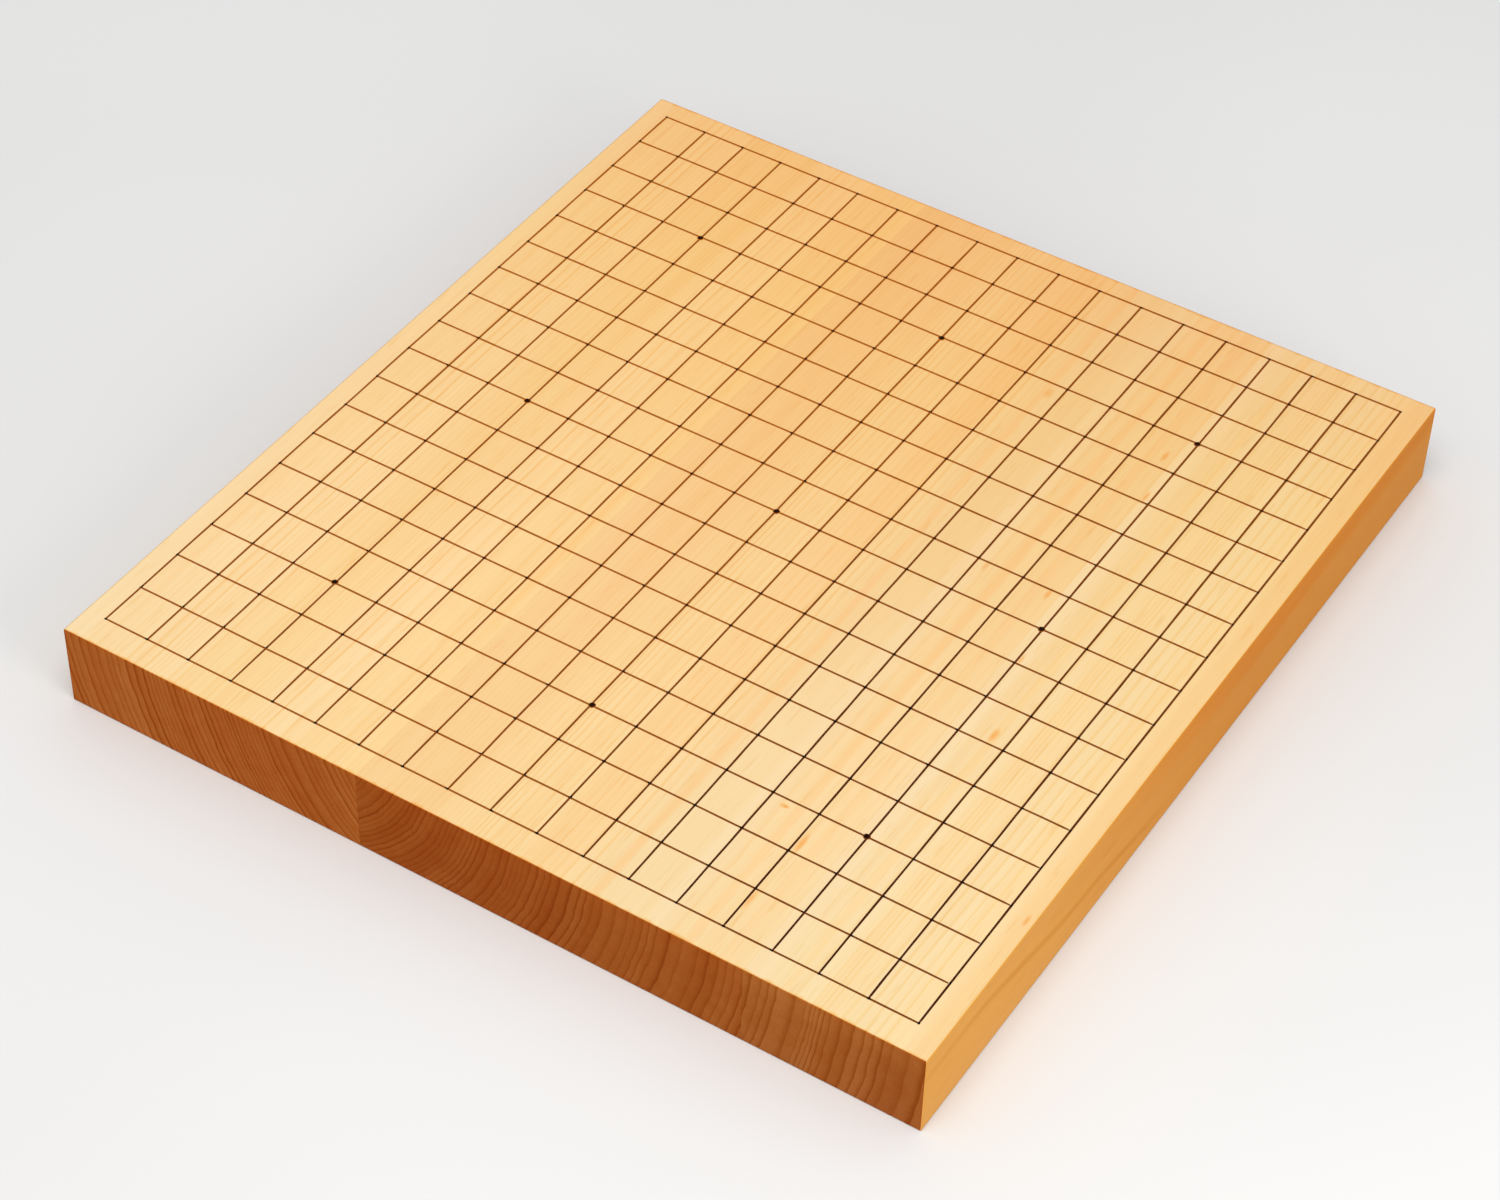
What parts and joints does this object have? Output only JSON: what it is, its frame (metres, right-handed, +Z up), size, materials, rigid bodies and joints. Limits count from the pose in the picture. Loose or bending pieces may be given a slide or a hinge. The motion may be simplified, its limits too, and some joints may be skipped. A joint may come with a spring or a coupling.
{
  "type": "weiqi board",
  "caption": "Solid wooden weiqi board: a low rectangular slab of edge-glued planks, lying flat, its top ruled with a raised lacquer grid and star points.",
  "frame": {"origin": "middle of the underside, on the surface that the board lies on", "axes": "+X across the grain to the right, +Y along the grain towards the far end, +Z up out of the ruled face"},
  "size_m": [0.419, 0.4528, 0.0418],
  "materials": {
    "left_plank": "satin clear coat over pale straight-grained softwood",
    "middle_plank": "satin clear coat over pale straight-grained softwood, pinker than its neighbours",
    "right_plank": "satin clear coat over pale straight-grained softwood",
    "wood_glue": "set amber wood glue, scraped flush",
    "line_lacquer": "brown-black lacquer, slightly raised and glossy"
  },
  "bodies": {
    "root": {"left_plank": "left_plank", "middle_plank": "middle_plank", "right_plank": "right_plank", "left_glue_line": "wood_glue", "right_glue_line": "wood_glue", "length_line_01": "line_lacquer", "length_line_02": "line_lacquer", "length_line_03": "line_lacquer", "length_line_04": "line_lacquer", "length_line_05": "line_lacquer", "length_line_06": "line_lacquer", "length_line_07": "line_lacquer", "length_line_08": "line_lacquer", "length_line_09": "line_lacquer", "length_line_10": "line_lacquer", "length_line_11": "line_lacquer", "length_line_12": "line_lacquer", "length_line_13": "line_lacquer", "length_line_14": "line_lacquer", "length_line_15": "line_lacquer", "length_line_16": "line_lacquer", "length_line_17": "line_lacquer", "length_line_18": "line_lacquer", "length_line_19": "line_lacquer", "cross_line_01": "line_lacquer", "cross_line_02": "line_lacquer", "cross_line_03": "line_lacquer", "cross_line_04": "line_lacquer", "cross_line_05": "line_lacquer", "cross_line_06": "line_lacquer", "cross_line_07": "line_lacquer", "cross_line_08": "line_lacquer", "cross_line_09": "line_lacquer", "cross_line_10": "line_lacquer", "cross_line_11": "line_lacquer", "cross_line_12": "line_lacquer", "cross_line_13": "line_lacquer", "cross_line_14": "line_lacquer", "cross_line_15": "line_lacquer", "cross_line_16": "line_lacquer", "cross_line_17": "line_lacquer", "cross_line_18": "line_lacquer", "cross_line_19": "line_lacquer", "star_point_1": "line_lacquer", "star_point_2": "line_lacquer", "star_point_3": "line_lacquer", "star_point_4": "line_lacquer", "star_point_5": "line_lacquer", "star_point_6": "line_lacquer", "star_point_7": "line_lacquer", "star_point_8": "line_lacquer", "star_point_9": "line_lacquer"}
  },
  "joints": []
}
